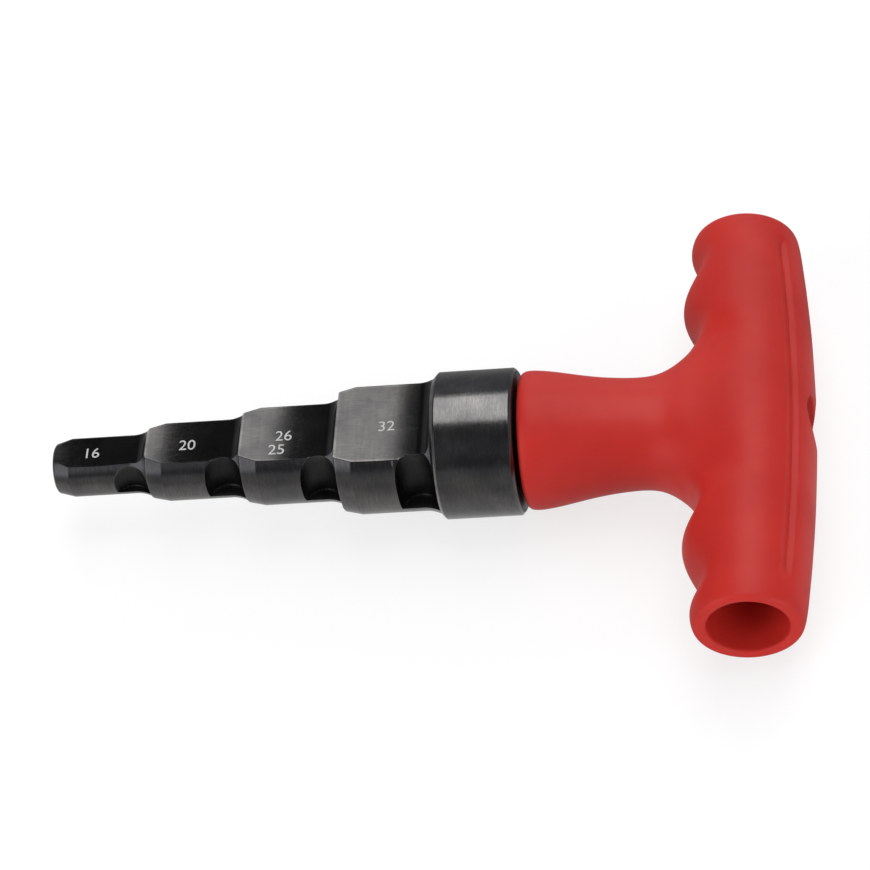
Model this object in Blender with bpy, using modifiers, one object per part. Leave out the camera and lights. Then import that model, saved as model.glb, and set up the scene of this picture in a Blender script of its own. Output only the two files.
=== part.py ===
# Stepped calibrating mandrel with a moulded T-handle, for multilayer pipe. Metres, +Z up.
# The tool axis is X: the nose face lies at X = 0 and the handle is at +X.
# The T-bar lies along Y, and the two marked flats of each step face +Z and -Z.
import math

import bmesh
import bpy
import numpy as np
from mathutils import Matrix, Vector
from mathutils.bvhtree import BVHTree

GAP = 0.0003  # left between pieces that touch

# steps of the mandrel, from the nose
# they fit the bores of 16 x 2, 20 x 2, 25 x 2.5 or 26 x 3, and 32 x 3 pipe
STEP_RADII = (0.0060, 0.0080, 0.0100, 0.0130)
STEP_LENGTH = 0.0200
LEAD_LENGTH = 0.0035  # bevelled front of each step
LEAD_DROP = 0.0008
FLARE_LENGTH = 0.0035  # each step flares out at its root
FLARE_RISE = 0.0009
NOSE_FACE_RADIUS = 0.0042
NOSE_EDGE = 0.0007

# collar behind the last step
COLLAR_RADIUS = 0.0150
COLLAR_LENGTH = 0.0167
COLLAR_CHAMFER = 0.0010
COLLAR_BACK_CHAMFER = 0.0007
HANDLE_CLEARANCE = 0.0006  # between the collar and the handle

# two marked flats on each step, hollow along the axis as a large grinding wheel leaves them
FLAT_HEIGHTS = (0.00465, 0.0060, 0.0071, 0.00845)
WHEEL_RADIUS = 0.190
WHEEL_EDGE = 0.0030
WHEEL_STOP = 0.0001  # the wheel stops this short of the next shoulder

# one chip pocket at the root of each step, plunged with an end mill across the land beside the flat
POCKET_RADIUS = 0.0040
POCKET_OVERRUN = 0.0002  # into the next shoulder
POCKET_BITES = (0.0022, 0.0041, 0.0041, 0.0050)
POCKET_FLOORS = (-0.0020, -0.0028, -0.0036, -0.0045)

# hexagonal shank, which the handle is pushed on
SHANK_ACROSS_FLATS = 0.0120
SHANK_LENGTH = 0.0408
SHANK_EDGE = 0.0004

# screw that holds the handle on: M6 x 20 with a cylindrical head
SCREW_RADIUS = 0.0030
SCREW_LENGTH = 0.0200
SCREW_EDGE = 0.0005
HEAD_RADIUS = 0.0050
HEAD_HEIGHT = 0.0060
KEY_ACROSS_FLATS = 0.0050
KEY_DEPTH = 0.0030
TAPPED_DEPTH = 0.0115
WASHER_RADIUS = 0.0055
WASHER_THICKNESS = 0.0016
SPRING_RADIUS = 0.0049
SPRING_THICKNESS = 0.0016
SPRING_SPLIT = 0.0012
SPLIT_SLANT = math.radians(20)
WEB_THICKNESS = 0.0062  # handle material between the shank and the washer

# neck of the handle: distance from the handle's front face, and radius
NECK_FRONT_RADIUS = 0.01425
NECK_WAIST_RADIUS = 0.01115
NECK_WAIST = 0.0245
NECK_FRONT_EDGE = 0.0016
# behind the waist the neck spreads into the T-bar: distance from the waist, growth sideways and upwards
NECK_SPREAD = ((0.0044, 0.0019, -0.0008), (0.0084, 0.0056, 0))
# and the top of the bar runs level into it: height of the bar's shoulder from the middle outwards
SADDLE_HEIGHTS = (0.0116, 0.0108, 0.0091)
SADDLE_FORWARD = 0.0020

# T-bar of the handle
BAR_AXIS = 0.0450  # behind the handle's front face
BAR_HALF_LENGTH = 0.0498
BAR_BACK = 0.0140  # reach behind the bar's axis at the middle
BAR_HEIGHT = 0.0129  # half the thickness at the middle
BAR_END_RADIUS = 0.01105
BAR_END_HEIGHT = 0.0104
# front of the bar: distance from the middle and reach to the front, over the neck's root, then valley,
# flank, crest, flank and valley of the finger waves
NECK_ROOT = 0.0111
NECK_ROOT_PLACES = (0, 0.0088, 0.0170)
FINGER_WAVES = ((0.02165, 0.00985), (0.0270, 0.0121), (0.03235, 0.01265), (0.0368, 0.0110), (0.0412, 0.00945))
# between the last valley and the end: share of the way, and reach to the front
END_WAVES = ((0.45, 0.0110), (0.93, BAR_END_RADIUS))
END_CUT = 0.0008  # the end's edge lies this far inside the bar's radius
END_FACE_RADIUS = 0.0085

# blind bores in the ends of the T-bar, with draft
BORE_RADIUS = 0.0080
END_FACE_INNER = 0.0064  # the cage's last ring, inside the bore
BORE_BOTTOM_RADIUS = 0.0075
HUB_HALF_WIDTH = 0.0105

# recess over the screw, and the two long shallow grooves
RECESS_CHAMFER = 0.0004
GROOVE_RADIUS = 0.0019
GROOVE_DEPTH = 0.0006
GROOVE_ANGLE = math.radians(48)
GROOVE_END = 0.0060

TURN_STEPS = 64

nose_to_collar = STEP_LENGTH * len(STEP_RADII)
collar_back = nose_to_collar + COLLAR_LENGTH
shank_end = collar_back + SHANK_LENGTH
handle_front = collar_back + HANDLE_CLEARANCE
bar_x = handle_front + BAR_AXIS
counterbore_floor = shank_end + GAP + WEB_THICKNESS
counterbore_radius = WASHER_RADIUS + GAP
head_seat = counterbore_floor + WASHER_THICKNESS + SPRING_THICKNESS + 3 * GAP


def clear_scene():
    for obj in list(bpy.data.objects):
        bpy.data.objects.remove(obj, do_unlink=True)


def new_collection(name):
    collection = bpy.data.collections.new(name)
    bpy.context.scene.collection.children.link(collection)
    return collection


def material(name, colour, roughness, metallic):
    made = bpy.data.materials.new(name)
    made.use_nodes = True
    shader = made.node_tree.nodes["Principled BSDF"]
    shader.inputs["Base Color"].default_value = (*colour, 1)
    shader.inputs["Roughness"].default_value = roughness
    shader.inputs["Metallic"].default_value = metallic
    made.diffuse_color = (*colour, 1)
    return made


def link_mesh(name, bm, collection):
    mesh = bpy.data.meshes.new(name)
    bm.to_mesh(mesh)
    bm.free()
    obj = bpy.data.objects.new(name, mesh)
    collection.objects.link(obj)
    return obj


def shade(obj, made):
    obj.data.materials.append(made)
    obj.data.polygons.foreach_set("use_smooth", [True] * len(obj.data.polygons))
    obj.data.set_sharp_from_angle(angle=math.radians(35))


def as_cutter(obj):
    obj.hide_render = True
    obj.display_type = "WIRE"
    return obj


def freeze(obj):
    # the modifiers become plain geometry
    graph = bpy.context.evaluated_depsgraph_get()
    mesh = bpy.data.meshes.new_from_object(obj.evaluated_get(graph))
    obj.modifiers.clear()
    obj.data = mesh


def boolean(obj, other, operation):
    modifier = obj.modifiers.new(other.name, "BOOLEAN")
    modifier.operation = operation
    modifier.solver = "EXACT"
    modifier.object = other


def turned(name, outline, steps, collection):
    # outline: (x, radius) points from the axis at one end to the axis at the other
    bm = bmesh.new()
    points = [bm.verts.new((x, 0, radius)) for x, radius in outline]
    for first, second in zip(points, points[1:]):
        bm.edges.new((first, second))
    obj = link_mesh(name, bm, collection)
    screw = obj.modifiers.new("turn", "SCREW")
    screw.axis = "X"
    screw.steps = steps
    screw.render_steps = steps
    screw.use_merge_vertices = True
    screw.merge_threshold = 0.00001
    screw.use_normal_calculate = True
    freeze(obj)
    bm = bmesh.new()
    bm.from_mesh(obj.data)
    bmesh.ops.recalc_face_normals(bm, faces=bm.faces)
    bm.to_mesh(obj.data)
    bm.free()
    return obj


def frustum(name, start, end, start_radius, end_radius, sides, collection, turn=0.0):
    # a cone, cylinder or prism from one point to another
    start = Vector(start)
    end = Vector(end)
    along = end - start
    bm = bmesh.new()
    bmesh.ops.create_cone(bm, cap_ends=True, segments=sides, radius1=start_radius,
                          radius2=end_radius, depth=along.length)
    place = Matrix.Translation((start + end) / 2) @ along.to_track_quat("Z", "Y").to_matrix().to_4x4()
    bmesh.ops.transform(bm, matrix=place @ Matrix.Rotation(turn, 4, "Z"), verts=bm.verts)
    return link_mesh(name, bm, collection)


def prism(name, outline, half_width, collection):
    # outline: (x, z) points of a closed shape, extruded to both sides along Y
    bm = bmesh.new()
    near = [bm.verts.new((x, -half_width, z)) for x, z in outline]
    face = bm.faces.new(near)
    swept = bmesh.ops.extrude_face_region(bm, geom=[face])
    moved = [item for item in swept["geom"] if isinstance(item, bmesh.types.BMVert)]
    bmesh.ops.translate(bm, verts=moved, vec=(0, 2 * half_width, 0))
    bmesh.ops.recalc_face_normals(bm, faces=bm.faces)
    return link_mesh(name, bm, collection)


def hexagon_radius(across_flats):
    return across_flats / math.sqrt(3)


def mandrel_outline():
    outline = [(0, 0), (0, NOSE_FACE_RADIUS)]
    nose_radius = STEP_RADII[0] - LEAD_DROP
    for turn in (30, 60, 90):
        # rounded edge of the nose face
        angle = math.radians(turn)
        outline.append((NOSE_EDGE * (1 - math.cos(angle)),
                        NOSE_FACE_RADIUS + (nose_radius - NOSE_FACE_RADIUS) * math.sin(angle)))
    for number, radius in enumerate(STEP_RADII):
        start = number * STEP_LENGTH
        end = start + STEP_LENGTH
        if number:
            outline.append((start, radius - LEAD_DROP))
        outline.append((start + LEAD_LENGTH, radius))
        for share in (0, 0.35, 0.6, 0.8, 1):
            outline.append((end - FLARE_LENGTH * (1 - share), radius + FLARE_RISE * share**2))
    outline += [
        (nose_to_collar, COLLAR_RADIUS - COLLAR_CHAMFER),
        (nose_to_collar + COLLAR_CHAMFER, COLLAR_RADIUS),
        (collar_back - COLLAR_BACK_CHAMFER, COLLAR_RADIUS),
        (collar_back, COLLAR_RADIUS - COLLAR_BACK_CHAMFER),
        (collar_back, 0),
    ]
    return outline


def hollow_height(number, x):
    # height of a marked flat above the axis: a shallow arc of the wheel, lowest halfway along the step
    middle = (number + 0.5) * STEP_LENGTH
    return FLAT_HEIGHTS[number] + (x - middle) ** 2 / (2 * WHEEL_RADIUS)


def flat_outline():
    # one pass of the wheel for each step: a long hollow, then a quick rise to the next level at its root
    outline = []
    start = -STEP_LENGTH / 4
    for number in range(len(FLAT_HEIGHTS)):
        last = number == len(FLAT_HEIGHTS) - 1
        end = (number + 1) * STEP_LENGTH - WHEEL_STOP
        rise = WHEEL_EDGE
        if not last:
            rise = hollow_height(number + 1, end) - hollow_height(number, end - WHEEL_EDGE / 2)
        sweep = math.acos(1 - rise / WHEEL_EDGE)
        foot = end - WHEEL_EDGE * math.sin(sweep)
        for x in np.linspace(start, foot, 6):
            outline.append((x, hollow_height(number, x)))
        level = outline[-1][1]
        for share in (0.25, 0.5, 0.75, 1):
            outline.append((foot + WHEEL_EDGE * math.sin(sweep * share),
                            level + WHEEL_EDGE * (1 - math.cos(sweep * share))))
        start = end + STEP_LENGTH / 6
    top = COLLAR_RADIUS + WHEEL_EDGE
    outline += [(outline[-1][0], top), (outline[0][0], top)]
    return outline


def make_mandrel(tool, cutters, steel):
    body = turned("stepped_mandrel", mandrel_outline(), TURN_STEPS, tool)
    radius = hexagon_radius(SHANK_ACROSS_FLATS)
    shank = frustum("shank_bar", (collar_back - COLLAR_LENGTH / 2, 0, 0), (shank_end, 0, 0),
                    radius, radius, 6, cutters)
    bevel = shank.modifiers.new("edges", "BEVEL")
    bevel.width = SHANK_EDGE
    bevel.segments = 1
    boolean(body, as_cutter(shank), "UNION")
    for side in (1, -1):
        outline = [(x, side * z) for x, z in flat_outline()]
        boolean(body, as_cutter(prism(f"wheel_{side}", outline, 2 * COLLAR_RADIUS, cutters)), "DIFFERENCE")
    sizes = zip(STEP_RADII, POCKET_BITES, POCKET_FLOORS, FLAT_HEIGHTS)
    for number, (radius, bite, floor, height) in enumerate(sizes):
        x = (number + 1) * STEP_LENGTH + POCKET_OVERRUN - POCKET_RADIUS
        for side in (1, -1):
            # the lands on both sides have one, each plunged from its own flat
            y = -side * (radius - bite + POCKET_RADIUS)
            pocket = frustum(f"end_mill_{number}_{side}", (x, y, side * floor),
                             (x, y, side * (height + 2 * WHEEL_EDGE)),
                             POCKET_RADIUS, POCKET_RADIUS, 32, cutters)
            boolean(body, as_cutter(pocket), "DIFFERENCE")
    tapped = frustum("tapped_hole", (shank_end - TAPPED_DEPTH, 0, 0), (shank_end + 2 * GAP, 0, 0),
                     SCREW_RADIUS + GAP, SCREW_RADIUS + GAP, 32, cutters)
    boolean(body, as_cutter(tapped), "DIFFERENCE")
    freeze(body)
    shade(body, steel)


def through(targets):
    # control values for which a cubic B-spline passes through the targets
    # it is symmetric at the start and free at the end
    count = len(targets)
    matrix = np.eye(count) * 4
    for row in range(count - 1):
        matrix[row, row + 1] = 1
        matrix[row + 1, row] = 1
    matrix[0, 1] = 2
    matrix[-1, -1] = 5
    return np.linalg.solve(matrix, np.array(targets) * 6)


def ring_shrink(count):
    # a smooth ring of this many control points ends up this much smaller than their circle
    return (2 + math.cos(2 * math.pi / count)) / 3


def bar_stations():
    # the T-bar from the middle to the end: places, and its reach to the front, the back and the top
    places = [*NECK_ROOT_PLACES, *(place for place, reach in FINGER_WAVES)]
    fronts = [NECK_ROOT] * len(NECK_ROOT_PLACES) + [reach for place, reach in FINGER_WAVES]
    last = places[-1]
    for share, front in END_WAVES:
        places.append(last + (BAR_HALF_LENGTH - last) * share)
        fronts.append(front)
    shares = [(place / BAR_HALF_LENGTH) ** 2 for place in places]
    backs = [BAR_BACK + (BAR_END_RADIUS - BAR_BACK) * share for share in shares]
    tops = [BAR_HEIGHT + (BAR_END_HEIGHT - BAR_HEIGHT) * share for share in shares]
    return places, fronts, backs, tops


def neck_stations():
    # from the front face to the T-bar: place, reach sideways and reach upwards
    waist = NECK_WAIST
    step = (NECK_FRONT_RADIUS - NECK_WAIST_RADIUS) / 4
    return (
        (waist * 0.12, NECK_FRONT_RADIUS, NECK_FRONT_RADIUS),
        (waist * 0.33, NECK_FRONT_RADIUS - step, NECK_FRONT_RADIUS - step),
        (waist * 0.62, NECK_WAIST_RADIUS + step, NECK_WAIST_RADIUS + step),
        (waist, NECK_WAIST_RADIUS, NECK_WAIST_RADIUS),
        *((waist + behind, NECK_WAIST_RADIUS + wide, NECK_WAIST_RADIUS + high)
          for behind, wide, high in NECK_SPREAD),
    )


def grip_quarter():
    # a quarter of the handle's cage, for Y and Z from 0 up
    # the bar's rings follow each other along Y, and the neck's rings leave them at the front
    bm = bmesh.new()
    places, fronts, backs, tops = bar_stations()
    fronts, backs, tops = through(fronts), through(backs), through(tops)
    grow = 1 / ring_shrink(8)
    rows = []
    for place, front, back, top in zip(places, fronts, backs, tops):
        row = []
        for turn in (0, 45, 90, 135, 180):
            angle = math.radians(turn)
            reach = front if turn < 90 else back
            row.append([bar_x - grow * reach * math.cos(angle), place, grow * top * math.sin(angle)])
        rows.append(row)
    for row, height in zip(rows, SADDLE_HEIGHTS):
        row[1][2] = height
        row[1][0] -= SADDLE_FORWARD * height / SADDLE_HEIGHTS[0]
    edges = (
        (BAR_END_RADIUS - END_CUT, BAR_END_HEIGHT - END_CUT),
        (END_FACE_RADIUS, END_FACE_RADIUS),
        (END_FACE_INNER, END_FACE_INNER),
    )
    for reach, top in edges:
        row = []
        for turn in (0, 45, 90, 135, 180):
            angle = math.radians(turn)
            row.append([bar_x - grow * reach * math.cos(angle), BAR_HALF_LENGTH,
                        grow * top * math.sin(angle)])
        rows.append(row)
    # the front of the first two rows is where the neck joins
    bar = [[None if number < 2 and place == 0 else bm.verts.new(point) for place, point in enumerate(row)]
           for number, row in enumerate(rows)]
    for number, (first, second) in enumerate(zip(bar, bar[1:])):
        for place in range(4):
            if number < 2 and place == 0:
                continue
            bm.faces.new((first[place], first[place + 1], second[place + 1], second[place]))
    bm.faces.new(bar[-1])
    grow = 1 / ring_shrink(12)
    rings = []
    front_rings = (
        (0, NECK_FRONT_RADIUS - 2 * NECK_FRONT_EDGE, NECK_FRONT_RADIUS - 2 * NECK_FRONT_EDGE),
        (0, NECK_FRONT_RADIUS - NECK_FRONT_EDGE / 8, NECK_FRONT_RADIUS - NECK_FRONT_EDGE / 8),
    )
    for along, wide, high in front_rings + neck_stations():
        ring = []
        for turn in (0, 30, 60, 90):
            angle = math.radians(turn)
            ring.append(bm.verts.new((handle_front + along, grow * wide * math.sin(angle),
                                      grow * high * math.cos(angle))))
        rings.append(ring)
    rings.append([bar[0][1], bar[1][1], bar[2][1], bar[2][0]])
    for first, second in zip(rings, rings[1:]):
        for place in range(3):
            bm.faces.new((first[place], first[place + 1], second[place + 1], second[place]))
    centre = bm.verts.new((handle_front, 0, 0))
    bm.faces.new((centre, *rings[0][:3]))
    bm.faces.new((centre, *rings[0][2:]))
    bmesh.ops.recalc_face_normals(bm, faces=bm.faces)
    return bm


def groove_path(handle, side):
    # points on the handle's surface, found along one direction from the bar's axis
    bm = bmesh.new()
    bm.from_mesh(handle.data)
    tree = BVHTree.FromBMesh(bm)
    bm.free()
    out = Vector((math.sin(GROOVE_ANGLE), 0, side * math.cos(GROOVE_ANGLE)))
    reach = BAR_HALF_LENGTH - GROOVE_END
    path = []
    for y in np.linspace(-reach, reach, 13):
        hit = tree.ray_cast(Vector((bar_x, y, 0)), out)[0]
        lift = GROOVE_RADIUS - GROOVE_DEPTH
        if abs(y) == reach:
            # the cutter leaves the surface at both ends
            lift += GROOVE_RADIUS
        path.append(hit + out * lift)
    return path


def tube(name, path, radius, collection):
    curve = bpy.data.curves.new(name, "CURVE")
    curve.dimensions = "3D"
    curve.bevel_depth = radius
    curve.bevel_resolution = 6
    curve.use_fill_caps = True
    spline = curve.splines.new("POLY")
    spline.points.add(len(path) - 1)
    for point, place in zip(spline.points, path):
        point.co = (*place, 1)
    guide = bpy.data.objects.new(name + "_guide", curve)
    collection.objects.link(guide)
    mesh = bpy.data.meshes.new_from_object(guide.evaluated_get(bpy.context.evaluated_depsgraph_get()))
    bpy.data.objects.remove(guide, do_unlink=True)
    bm = bmesh.new()
    bm.from_mesh(mesh)
    bmesh.ops.remove_doubles(bm, verts=bm.verts, dist=0.00001)
    bmesh.ops.recalc_face_normals(bm, faces=bm.faces)
    return link_mesh(name, bm, collection)


def make_handle(tool, cutters, plastic):
    handle = link_mesh("handle_body", grip_quarter(), tool)
    mirror = handle.modifiers.new("halves", "MIRROR")
    mirror.use_axis = (False, True, True)
    mirror.merge_threshold = 0.00001
    smooth = handle.modifiers.new("smooth", "SUBSURF")
    smooth.levels = 2
    smooth.render_levels = 2
    freeze(handle)
    for side in (1, -1):
        groove = tube(f"groove_{side}", groove_path(handle, side), GROOVE_RADIUS, cutters)
        boolean(handle, as_cutter(groove), "DIFFERENCE")
        mouth = side * (BAR_HALF_LENGTH + GAP)
        bore = frustum(f"bore_{side}", (bar_x, side * HUB_HALF_WIDTH, 0), (bar_x, mouth, 0),
                       BORE_BOTTOM_RADIUS, BORE_RADIUS, 40, cutters)
        boolean(handle, as_cutter(bore), "DIFFERENCE")
    radius = hexagon_radius(SHANK_ACROSS_FLATS + 2 * GAP)
    back = bar_x + BAR_BACK
    cuts = (
        ("shank_socket", handle_front - GAP, shank_end + GAP, radius, radius, 6),
        ("screw_hole", shank_end, counterbore_floor + GAP, SCREW_RADIUS + GAP, SCREW_RADIUS + GAP, 32),
        ("counterbore", counterbore_floor, back + GAP, counterbore_radius, counterbore_radius, 40),
        ("recess_lip", back - 2 * RECESS_CHAMFER, back + RECESS_CHAMFER, counterbore_radius - RECESS_CHAMFER,
         counterbore_radius + 2 * RECESS_CHAMFER, 48),
    )
    for name, start, end, first, second, sides in cuts:
        cutter = frustum(name, (start, 0, 0), (end, 0, 0), first, second, sides, cutters)
        boolean(handle, as_cutter(cutter), "DIFFERENCE")
    freeze(handle)
    shade(handle, plastic)


def make_screw(tool, cutters, steel):
    tip = head_seat - SCREW_LENGTH
    top = head_seat + HEAD_HEIGHT
    edge = SCREW_EDGE
    outline = (
        (tip, 0), (tip, SCREW_RADIUS - edge), (tip + edge, SCREW_RADIUS), (head_seat, SCREW_RADIUS),
        (head_seat, HEAD_RADIUS), (top - edge, HEAD_RADIUS), (top, HEAD_RADIUS - edge), (top, 0),
    )
    screw = turned("retaining_screw", outline, 32, tool)
    radius = hexagon_radius(KEY_ACROSS_FLATS)
    key = frustum("key_socket", (top - KEY_DEPTH, 0, 0), (top + GAP, 0, 0), radius, radius, 6, cutters)
    boolean(screw, as_cutter(key), "DIFFERENCE")
    freeze(screw)
    shade(screw, steel)


def make_washers(tool, cutters, steel):
    hole_radius = SCREW_RADIUS + GAP
    flat_start = counterbore_floor + GAP
    spring_start = flat_start + WASHER_THICKNESS + GAP
    rings = (
        ("flat_washer", flat_start, WASHER_THICKNESS, WASHER_RADIUS),
        ("spring_washer", spring_start, SPRING_THICKNESS, SPRING_RADIUS),
    )
    for name, start, thickness, radius in rings:
        ring = frustum(name, (start, 0, 0), (start + thickness, 0, 0), radius, radius, 40, tool)
        hole = frustum(name + "_hole", (start - GAP, 0, 0), (start + thickness + GAP, 0, 0),
                       hole_radius, hole_radius, 40, cutters)
        boolean(ring, as_cutter(hole), "DIFFERENCE")
        if name == "spring_washer":
            # a slanted saw cut across one side of the ring
            corner = SPRING_SPLIT / math.sqrt(2)
            split = frustum("washer_split", (0, 0, 0), (0, 0, radius + GAP),
                            corner, corner, 4, cutters, math.pi / 4)
            lengthen = Matrix.Scale(2 * thickness / SPRING_SPLIT, 4, (1, 0, 0))
            slant = Matrix.Rotation(SPLIT_SLANT, 4, "Z")
            split.data.transform(Matrix.Translation((start + thickness / 2, 0, 0)) @ slant @ lengthen)
            boolean(ring, as_cutter(split), "DIFFERENCE")
        freeze(ring)
        shade(ring, steel)


def main():
    clear_scene()
    tool = new_collection("pipe_calibrator")
    cutters = new_collection("cutters")
    blackened = material("blackened_steel", (0.028, 0.029, 0.031), 0.36, 0.9)
    plated = material("zinc_plated_steel", (0.56, 0.57, 0.58), 0.35, 1.0)
    red = material("red_plastic", (0.53, 0.032, 0.028), 0.42, 0.0)
    make_mandrel(tool, cutters, blackened)
    make_handle(tool, cutters, red)
    make_screw(tool, cutters, blackened)
    make_washers(tool, cutters, plated)


main()
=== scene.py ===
import math

import bmesh
import bpy
import numpy as np
from mathutils import Matrix, Vector


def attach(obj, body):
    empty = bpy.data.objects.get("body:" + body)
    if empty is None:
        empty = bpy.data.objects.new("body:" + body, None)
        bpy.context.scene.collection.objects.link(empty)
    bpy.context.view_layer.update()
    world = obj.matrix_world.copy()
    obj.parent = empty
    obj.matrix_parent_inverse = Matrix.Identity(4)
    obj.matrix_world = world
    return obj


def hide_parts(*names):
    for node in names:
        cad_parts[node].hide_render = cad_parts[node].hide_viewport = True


# a stepped mandrel for calibrating pipe ends, with a moulded T-handle
# the tool lies along X with its nose at 0, the T-bar lies along Y, metres throughout
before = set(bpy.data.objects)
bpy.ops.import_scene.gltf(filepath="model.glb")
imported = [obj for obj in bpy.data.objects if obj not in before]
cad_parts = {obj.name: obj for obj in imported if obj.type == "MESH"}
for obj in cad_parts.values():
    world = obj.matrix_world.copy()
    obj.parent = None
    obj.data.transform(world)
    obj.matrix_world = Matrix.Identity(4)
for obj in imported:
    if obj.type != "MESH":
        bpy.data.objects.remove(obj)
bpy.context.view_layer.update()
print("frame loaded:", ", ".join(sorted(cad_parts)))


def gridFaces(rows, columns, closed=True):
    # quads between neighbouring points of a rows x columns grid, columns running round
    across = columns if closed else columns - 1
    i, j = np.meshgrid(np.arange(rows - 1), np.arange(across), indexing="ij")
    k = (j + 1) % columns
    row, nextRow = i * columns, (i + 1) * columns
    quads = np.stack([row + j, row + k, nextRow + k, nextRow + j], axis=-1)
    return quads.reshape(-1, 4)


def vertexPoints(mesh):
    points = np.empty(len(mesh.vertices) * 3)
    mesh.vertices.foreach_get("co", points)
    return points.reshape(-1, 3)


def meshObject(name, points, faces, extraFaces=()):
    mesh = bpy.data.meshes.new(name)
    allFaces = faces.tolist() + [list(face) for face in extraFaces]
    mesh.from_pydata(points.reshape(-1, 3).tolist(), [], allFaces)
    made = bpy.data.objects.new(name, mesh)
    bpy.context.scene.collection.objects.link(made)
    return made


def tidyMesh(piece, weld=1e-7, sharpAngle=35.0):
    # doubles merged, normals outward, smooth shading that breaks at sharp angles
    work = bmesh.new()
    work.from_mesh(piece.data)
    bmesh.ops.remove_doubles(work, verts=work.verts, dist=weld)
    bmesh.ops.dissolve_degenerate(work, edges=work.edges, dist=weld)
    bmesh.ops.recalc_face_normals(work, faces=work.faces)
    work.to_mesh(piece.data)
    work.free()
    smoothShade(piece, sharpAngle)


def smoothShade(piece, sharpAngle):
    piece.data.polygons.foreach_set("use_smooth", np.ones(len(piece.data.polygons), dtype=bool))
    piece.data.set_sharp_from_angle(angle=math.radians(sharpAngle))


def applyModifiers(piece):
    graph = bpy.context.evaluated_depsgraph_get()
    mesh = bpy.data.meshes.new_from_object(piece.evaluated_get(graph))
    piece.modifiers.clear()
    piece.data = mesh


def capped(name, rings):
    # a closed surface through rings of points, each end closed by a flat face
    rows, columns = rings.shape[:2]
    last = (rows - 1) * columns
    ends = [range(columns - 1, -1, -1), range(last, last + columns)]
    return meshObject(name, rings, gridFaces(rows, columns), ends)


def ringAngles(columns):
    return np.linspace(0, 2 * np.pi, columns, endpoint=False)


def turnedRings(profile, columns):
    # a point (x, r) of the profile becomes the ring (x, r sin a, r cos a), a from 0 to 2 pi
    # r is one radius, or one for each angle
    a = ringAngles(columns)
    rings = [np.stack([np.full(columns, x), r * np.sin(a), r * np.cos(a)], axis=-1) for x, r in profile]
    return np.array(rings)


def hexRadius(halfAcross, columns):
    # a hexagon of half width w across its flats, as a radius for each angle:
    # w / cos(angle from the middle of a flat)
    a = ringAngles(columns)
    off = np.mod(a + np.pi / 6, np.pi / 3) - np.pi / 6
    return halfAcross / np.cos(off)


def filletProfile(points, radius, steps=5):
    # a profile with each inner corner c rounded: (1 - t)^2 p + 2 t (1 - t) c + t^2 q
    # p and q lie on its sides, a radius from it or a little under half a side if that is shorter
    points = np.array(points, float)
    rounded = [points[:1]]
    most = 0.45
    t = np.linspace(0, 1, steps)[:, None]
    for before, corner, after in zip(points, points[1:], points[2:]):
        first, second = before - corner, after - corner
        firstLength, secondLength = np.linalg.norm(first), np.linalg.norm(second)
        reach = min(radius, firstLength * most, secondLength * most)
        start = corner + first / firstLength * reach
        end = corner + second / secondLength * reach
        rounded.append((1 - t) ** 2 * start + 2 * t * (1 - t) * corner + t ** 2 * end)
    rounded.append(points[-1:])
    return np.concatenate(rounded)


def feed(tree, socket, value):
    # a link where the value is another node's output
    if isinstance(value, bpy.types.NodeSocket):
        tree.links.new(value, socket)
    else:
        socket.default_value = value


def addNode(tree, kind, inputs=None, **settings):
    node = tree.nodes.new(kind)
    for key, value in settings.items():
        setattr(node, key, value)
    for key, value in (inputs or {}).items():
        feed(tree, node.inputs[key], value)
    return node


def mathNode(tree, operation, first, second):
    return addNode(tree, "ShaderNodeMath", {0: first, 1: second}, operation=operation).outputs[0]


def remap(tree, value, fromLow, fromHigh, toLow, toHigh):
    return addNode(tree, "ShaderNodeMapRange", {
        "Value": value, "From Min": fromLow, "From Max": fromHigh, "To Min": toLow, "To Max": toHigh,
    }).outputs["Result"]


def mixColours(tree, amount, first, second):
    node = addNode(tree, "ShaderNodeMix", data_type="RGBA")
    # the factor and the two colours among the sockets that the Mix node keeps for all its types
    for place, value in ((0, amount), (6, first), (7, second)):
        feed(tree, node.inputs[place], value)
    return node.outputs[2]


def mixValues(tree, amount, first, second):
    return addNode(tree, "ShaderNodeMix", {0: amount, 2: first, 3: second}).outputs[0]


def mixShaders(tree, amount, first, second):
    return addNode(tree, "ShaderNodeMixShader", {0: amount, 1: first.outputs[0], 2: second.outputs[0]})


def attributeValue(tree, name):
    return addNode(tree, "ShaderNodeAttribute", attribute_name=name).outputs["Fac"]


def noiseValue(tree, position, scale, detail, roughness):
    return addNode(tree, "ShaderNodeTexNoise", {
        "Vector": position, "Scale": scale, "Detail": detail, "Roughness": roughness,
    }).outputs[0]


def newGroup(name, inputs, outputs):
    tree = bpy.data.node_groups.new(name, "ShaderNodeTree")
    for label, kind, value in inputs:
        socket = tree.interface.new_socket(name=label, in_out="INPUT", socket_type=kind)
        if value is not None:
            socket.default_value = value
    for label, kind in outputs:
        tree.interface.new_socket(name=label, in_out="OUTPUT", socket_type=kind)
    return tree, tree.nodes.new("NodeGroupInput").outputs, tree.nodes.new("NodeGroupOutput").inputs


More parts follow.
